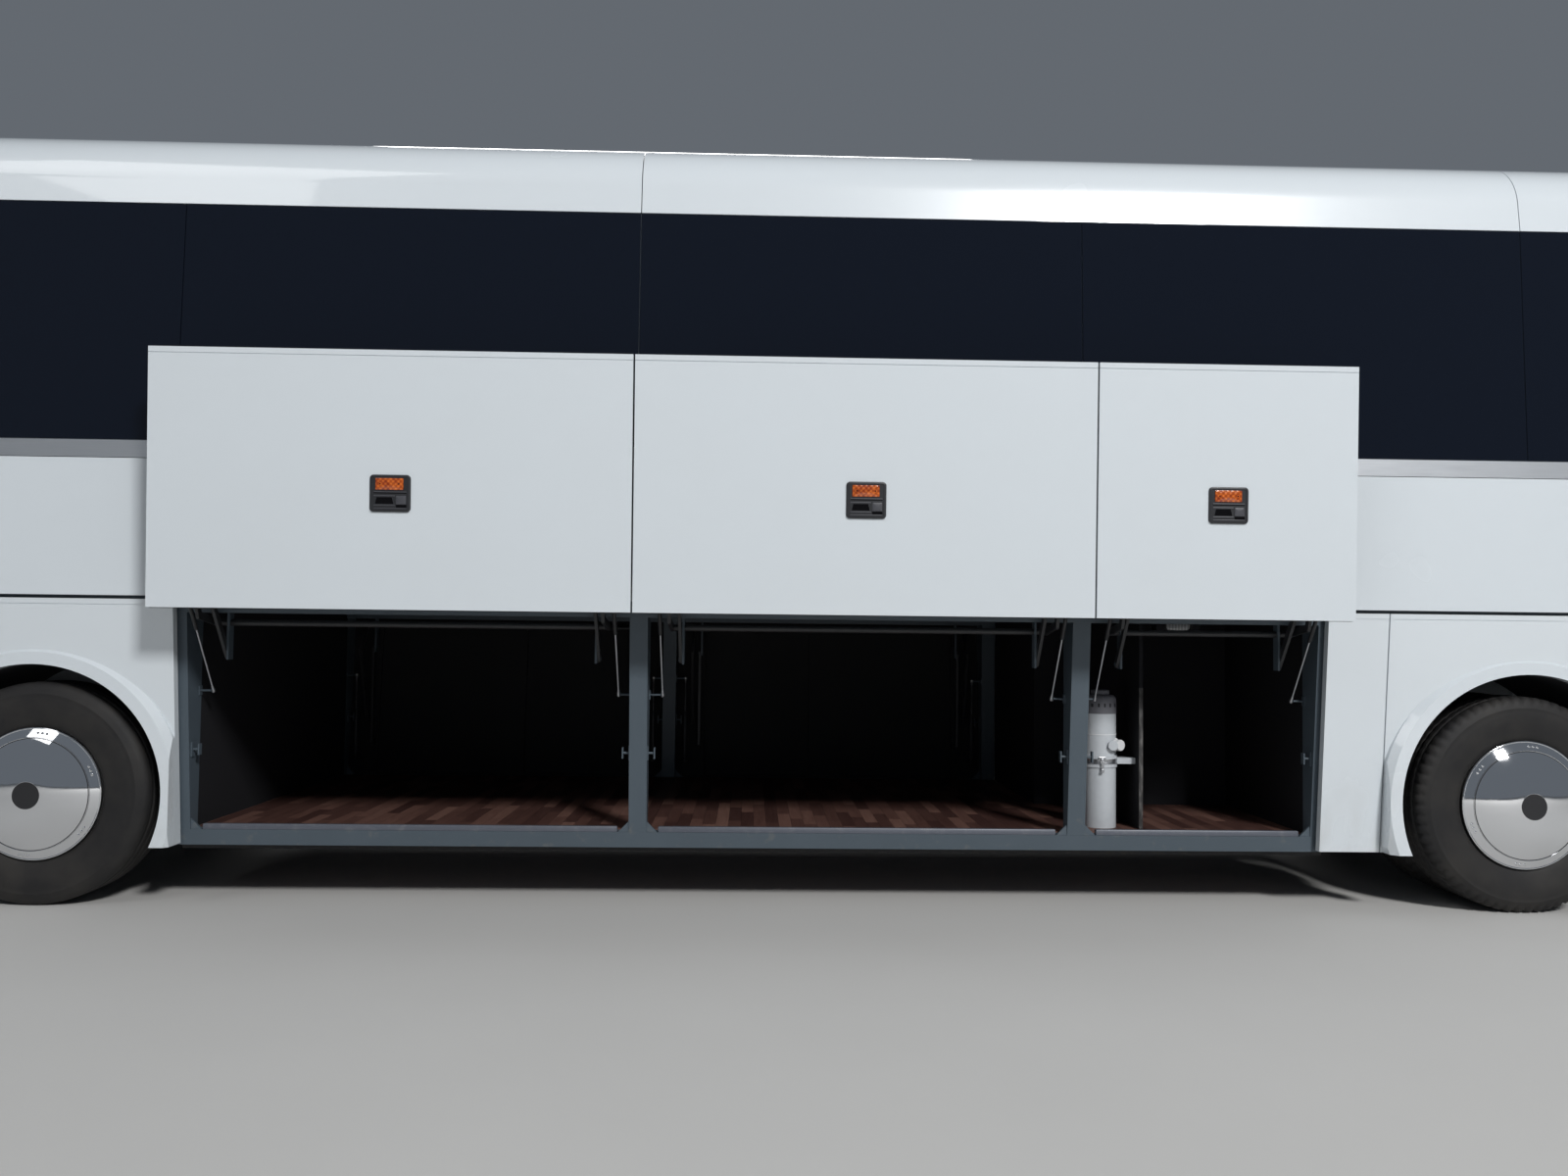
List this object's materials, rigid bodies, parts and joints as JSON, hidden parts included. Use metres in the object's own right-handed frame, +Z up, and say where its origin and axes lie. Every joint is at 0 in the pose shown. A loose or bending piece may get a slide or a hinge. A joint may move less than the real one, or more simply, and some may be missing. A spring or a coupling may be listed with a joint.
{
  "type": "touring coach bus",
  "caption": "High-deck touring coach with two axles, raised parallel-lift luggage doors, twin rear wheels and hollow luggage bays.",
  "frame": {"origin": "on the ground under the middle of the coach", "axes": "+X towards the rear, +Y towards the kerb (right) side, +Z up"},
  "size_m": [13.17, 3.1267, 3.785],
  "materials": {
    "white_paint": "clean gloss",
    "dark_glass": "tinted, flush",
    "screen_glass": "clear laminated",
    "satin_aluminium": "satin",
    "slate_frame": "satin enamel",
    "bay_boards": "varnished planks",
    "bay_lining": "matt black",
    "tyre": "matt, slightly dusty",
    "chrome_cap": "polished dome",
    "chassis_black": "black chassis paint",
    "lamp_lens": "moulded lenses",
    "seat_fabric": "woven plush",
    "dash_plastic": "grained",
    "engine_iron": "cast",
    "canister_grey": "grey enamel",
    "strut_black": "satin black",
    "strut_chrome": "ground rod",
    "mirror_black": "moulded housing"
  },
  "bodies": {
    "coach_body": {"underframe": "chassis_black", "body_frame": "slate_frame", "floors": "bay_boards", "bay_lining": "bay_lining", "side_panels": "white_paint", "trim_strips": "satin_aluminium", "roof": "white_paint", "front_mask": "white_paint", "rear_mask": "white_paint", "windscreen": "screen_glass", "window_glass": "dark_glass", "lamps": "lamp_lens", "mirrors": "mirror_black", "wipers": "mirror_black", "dashboard": "dash_plastic", "seats": "seat_fabric", "axles": "chassis_black", "engine": "engine_iron", "vacuum_canister": "canister_grey"},
    "knuckle_left": {"knuckle_left": "chassis_black"},
    "front_wheel_left": {"tyre_front_left": "tyre", "wheel_front_left": "chrome_cap"},
    "rear_wheel_left": {"tyre_rear_left": "tyre", "wheel_rear_left": "chrome_cap"},
    "knuckle_right": {"knuckle_right": "chassis_black"},
    "front_wheel_right": {"tyre_front_right": "tyre", "wheel_front_right": "chrome_cap"},
    "rear_wheel_right": {"tyre_rear_right": "tyre", "wheel_rear_right": "chrome_cap"},
    "steering_wheel": {"steering_wheel": "dash_plastic"},
    "door_arm_left_1": {"door_arm_left_1": "strut_black"},
    "luggage_door_left_1": {"luggage_door_left_1": "white_paint"},
    "door_link_left_1": {"door_link_left_1": "strut_black"},
    "strut_tube_left_1": {"strut_tube_left_1": "strut_black"},
    "strut_rod_left_1": {"strut_rod_left_1": "strut_chrome"},
    "door_arm_left_2": {"door_arm_left_2": "strut_black"},
    "luggage_door_left_2": {"luggage_door_left_2": "white_paint"},
    "door_link_left_2": {"door_link_left_2": "strut_black"},
    "strut_tube_left_2": {"strut_tube_left_2": "strut_black"},
    "strut_rod_left_2": {"strut_rod_left_2": "strut_chrome"},
    "door_arm_left_3": {"door_arm_left_3": "strut_black"},
    "luggage_door_left_3": {"luggage_door_left_3": "white_paint"},
    "door_link_left_3": {"door_link_left_3": "strut_black"},
    "strut_tube_left_3": {"strut_tube_left_3": "strut_black"},
    "strut_rod_left_3": {"strut_rod_left_3": "strut_chrome"},
    "door_arm_right_1": {"door_arm_right_1": "strut_black"},
    "luggage_door_right_1": {"luggage_door_right_1": "white_paint"},
    "door_link_right_1": {"door_link_right_1": "strut_black"},
    "strut_tube_right_1": {"strut_tube_right_1": "strut_black"},
    "strut_rod_right_1": {"strut_rod_right_1": "strut_chrome"},
    "door_arm_right_2": {"door_arm_right_2": "strut_black"},
    "luggage_door_right_2": {"luggage_door_right_2": "white_paint"},
    "door_link_right_2": {"door_link_right_2": "strut_black"},
    "strut_tube_right_2": {"strut_tube_right_2": "strut_black"},
    "strut_rod_right_2": {"strut_rod_right_2": "strut_chrome"},
    "front_door_arm": {"front_door_arm": "strut_black"},
    "front_door": {"front_door": "white_paint"},
    "mid_door_arm": {"mid_door_arm": "strut_black"},
    "mid_door": {"mid_door": "white_paint"},
    "engine_cover": {"engine_cover": "white_paint"}
  },
  "joints": [
    {"name": "steer_left", "type": "hinge", "parent": "coach_body", "child": "knuckle_left", "pos_m": [-3.7125, -0.94, 0.51], "axis": [0, 0, 1], "range_deg": [-45, 45]},
    {"name": "spin_front_left", "type": "hinge", "parent": "knuckle_left", "child": "front_wheel_left", "pos_m": [-3.7125, -1.066, 0.51], "axis": [0, 1, 0], "continuous": true},
    {"name": "spin_rear_left", "type": "hinge", "parent": "coach_body", "child": "rear_wheel_left", "pos_m": [3.1975, -0.901, 0.51], "axis": [0, 1, 0], "continuous": true},
    {"name": "steer_right", "type": "hinge", "parent": "coach_body", "child": "knuckle_right", "pos_m": [-3.7125, 0.94, 0.51], "axis": [0, 0, 1], "range_deg": [-45, 45]},
    {"name": "spin_front_right", "type": "hinge", "parent": "knuckle_right", "child": "front_wheel_right", "pos_m": [-3.7125, 1.066, 0.51], "axis": [0, 1, 0], "continuous": true},
    {"name": "spin_rear_right", "type": "hinge", "parent": "coach_body", "child": "rear_wheel_right", "pos_m": [3.1975, 0.901, 0.51], "axis": [0, 1, 0], "continuous": true},
    {"name": "steering_wheel_turn", "type": "hinge", "parent": "coach_body", "child": "steering_wheel", "pos_m": [-5.93, -0.65, 1.85], "axis": [0.4695, 0, 0.8829], "range_deg": [-720, 720]},
    {"name": "lift_left_1", "type": "hinge", "parent": "coach_body", "child": "door_arm_left_1", "pos_m": [-2.033, -1.125, 1.3], "axis": [1, 0, 0], "range_deg": [0, 142.7]},
    {"name": "door_left_1", "type": "hinge", "parent": "door_arm_left_1", "child": "luggage_door_left_1", "pos_m": [-2.033, -1.48273, 1.78169], "axis": [1, 0, 0], "range_deg": [-139.4, 0]},
    {"name": "link_left_1", "type": "hinge", "parent": "coach_body", "child": "door_link_left_1", "pos_m": [-2.033, -1.11823, 1.15004], "axis": [1, 0, 0], "range_deg": [0, 143.5]},
    {"name": "strut_left_1", "type": "hinge", "parent": "coach_body", "child": "strut_tube_left_1", "pos_m": [-2.033, -1.055, 0.98], "axis": [1, 0, 0], "range_deg": [0, 144.8]},
    {"name": "rod_left_1", "type": "slide", "parent": "strut_tube_left_1", "child": "strut_rod_left_1", "axis": [0, 0.5643, -0.8256], "range_m": [0, 0.1338]},
    {"name": "lift_left_2", "type": "hinge", "parent": "coach_body", "child": "door_arm_left_2", "pos_m": [0.0405, -1.125, 1.3], "axis": [1, 0, 0], "range_deg": [0, 142.7]},
    {"name": "door_left_2", "type": "hinge", "parent": "door_arm_left_2", "child": "luggage_door_left_2", "pos_m": [0.0405, -1.48273, 1.78169], "axis": [1, 0, 0], "range_deg": [-139.4, 0]},
    {"name": "link_left_2", "type": "hinge", "parent": "coach_body", "child": "door_link_left_2", "pos_m": [0.0405, -1.11823, 1.15004], "axis": [1, 0, 0], "range_deg": [0, 143.5]},
    {"name": "strut_left_2", "type": "hinge", "parent": "coach_body", "child": "strut_tube_left_2", "pos_m": [0.0405, -1.055, 0.98], "axis": [1, 0, 0], "range_deg": [0, 144.8]},
    {"name": "rod_left_2", "type": "slide", "parent": "strut_tube_left_2", "child": "strut_rod_left_2", "axis": [0, 0.5643, -0.8256], "range_m": [0, 0.1338]},
    {"name": "lift_left_3", "type": "hinge", "parent": "coach_body", "child": "door_arm_left_3", "pos_m": [1.648, -1.125, 1.3], "axis": [1, 0, 0], "range_deg": [0, 142.7]},
    {"name": "door_left_3", "type": "hinge", "parent": "door_arm_left_3", "child": "luggage_door_left_3", "pos_m": [1.648, -1.48273, 1.78169], "axis": [1, 0, 0], "range_deg": [-139.4, 0]},
    {"name": "link_left_3", "type": "hinge", "parent": "coach_body", "child": "door_link_left_3", "pos_m": [1.648, -1.11823, 1.15004], "axis": [1, 0, 0], "range_deg": [0, 143.5]},
    {"name": "strut_left_3", "type": "hinge", "parent": "coach_body", "child": "strut_tube_left_3", "pos_m": [1.648, -1.055, 0.98], "axis": [1, 0, 0], "range_deg": [0, 144.8]},
    {"name": "rod_left_3", "type": "slide", "parent": "strut_tube_left_3", "child": "strut_rod_left_3", "axis": [0, 0.5643, -0.8256], "range_m": [0, 0.1338]},
    {"name": "lift_right_1", "type": "hinge", "parent": "coach_body", "child": "door_arm_right_1", "pos_m": [-2.033, 1.125, 1.3], "axis": [1, 0, 0], "range_deg": [0, 142.7]},
    {"name": "door_right_1", "type": "hinge", "parent": "door_arm_right_1", "child": "luggage_door_right_1", "pos_m": [-2.033, 1.13233, 0.70005], "axis": [1, 0, 0], "range_deg": [-139.4, 0]},
    {"name": "link_right_1", "type": "hinge", "parent": "coach_body", "child": "door_link_right_1", "pos_m": [-2.033, 1.11823, 1.15004], "axis": [1, 0, 0], "range_deg": [0, 143.5]},
    {"name": "strut_right_1", "type": "hinge", "parent": "coach_body", "child": "strut_tube_right_1", "pos_m": [-2.033, 1.055, 0.98], "axis": [1, 0, 0], "range_deg": [0, 144.8]},
    {"name": "rod_right_1", "type": "slide", "parent": "strut_tube_right_1", "child": "strut_rod_right_1", "axis": [0, 0.0173, -0.9999], "range_m": [0, 0.1338]},
    {"name": "lift_right_2", "type": "hinge", "parent": "coach_body", "child": "door_arm_right_2", "pos_m": [0.0405, 1.125, 1.3], "axis": [1, 0, 0], "range_deg": [0, 142.7]},
    {"name": "door_right_2", "type": "hinge", "parent": "door_arm_right_2", "child": "luggage_door_right_2", "pos_m": [0.0405, 1.13233, 0.70005], "axis": [1, 0, 0], "range_deg": [-139.4, 0]},
    {"name": "link_right_2", "type": "hinge", "parent": "coach_body", "child": "door_link_right_2", "pos_m": [0.0405, 1.11823, 1.15004], "axis": [1, 0, 0], "range_deg": [0, 143.5]},
    {"name": "strut_right_2", "type": "hinge", "parent": "coach_body", "child": "strut_tube_right_2", "pos_m": [0.0405, 1.055, 0.98], "axis": [1, 0, 0], "range_deg": [0, 144.8]},
    {"name": "rod_right_2", "type": "slide", "parent": "strut_tube_right_2", "child": "strut_rod_right_2", "axis": [0, 0.0173, -0.9999], "range_m": [0, 0.1338]},
    {"name": "front_door_swing", "type": "hinge", "parent": "coach_body", "child": "front_door_arm", "pos_m": [-5.292, 0.9795, 0.975], "axis": [0, 0, -1], "range_deg": [0, 115.62]},
    {"name": "front_door_follow", "type": "hinge", "parent": "front_door_arm", "child": "front_door", "pos_m": [-5.72921, 1.15, 0.975], "axis": [0, 0, -1], "range_deg": [-115.62, 0]},
    {"name": "mid_door_swing", "type": "hinge", "parent": "coach_body", "child": "mid_door_arm", "pos_m": [2.151, 0.97738, 0.975], "axis": [0, 0, -1], "range_deg": [0, 130.73]},
    {"name": "mid_door_follow", "type": "hinge", "parent": "mid_door_arm", "child": "mid_door", "pos_m": [1.57661, 1.15, 0.975], "axis": [0, 0, -1], "range_deg": [-130.73, 0]},
    {"name": "engine_cover_lift", "type": "hinge", "parent": "coach_body", "child": "engine_cover", "pos_m": [6.56, 0, 1.865], "axis": [0, -1, 0], "range_deg": [0, 80]}
  ],
  "couplings": [
    {"joint": "steer_right", "follows": "steer_left", "ratio": 1},
    {"joint": "steering_wheel_turn", "follows": "steer_left", "ratio": 16},
    {"joint": "door_left_1", "follows": "lift_left_1", "ratio": -0.97603},
    {"joint": "link_left_1", "follows": "lift_left_1", "ratio": 1.0047},
    {"joint": "strut_left_1", "follows": "lift_left_1", "ratio": 1.0137},
    {"joint": "rod_left_1", "follows": "lift_left_1", "m_per_rad": 0.053701},
    {"joint": "door_left_2", "follows": "lift_left_2", "ratio": -0.97603},
    {"joint": "link_left_2", "follows": "lift_left_2", "ratio": 1.0047},
    {"joint": "strut_left_2", "follows": "lift_left_2", "ratio": 1.0137},
    {"joint": "rod_left_2", "follows": "lift_left_2", "m_per_rad": 0.053701},
    {"joint": "door_left_3", "follows": "lift_left_3", "ratio": -0.97603},
    {"joint": "link_left_3", "follows": "lift_left_3", "ratio": 1.0047},
    {"joint": "strut_left_3", "follows": "lift_left_3", "ratio": 1.0137},
    {"joint": "rod_left_3", "follows": "lift_left_3", "m_per_rad": 0.053701},
    {"joint": "door_right_1", "follows": "lift_right_1", "ratio": -0.97603},
    {"joint": "link_right_1", "follows": "lift_right_1", "ratio": 1.0047},
    {"joint": "strut_right_1", "follows": "lift_right_1", "ratio": 1.0137},
    {"joint": "rod_right_1", "follows": "lift_right_1", "m_per_rad": 0.053701},
    {"joint": "door_right_2", "follows": "lift_right_2", "ratio": -0.97603},
    {"joint": "link_right_2", "follows": "lift_right_2", "ratio": 1.0047},
    {"joint": "strut_right_2", "follows": "lift_right_2", "ratio": 1.0137},
    {"joint": "rod_right_2", "follows": "lift_right_2", "m_per_rad": 0.053701},
    {"joint": "front_door_follow", "follows": "front_door_swing", "ratio": -1},
    {"joint": "mid_door_follow", "follows": "mid_door_swing", "ratio": -1}
  ]
}
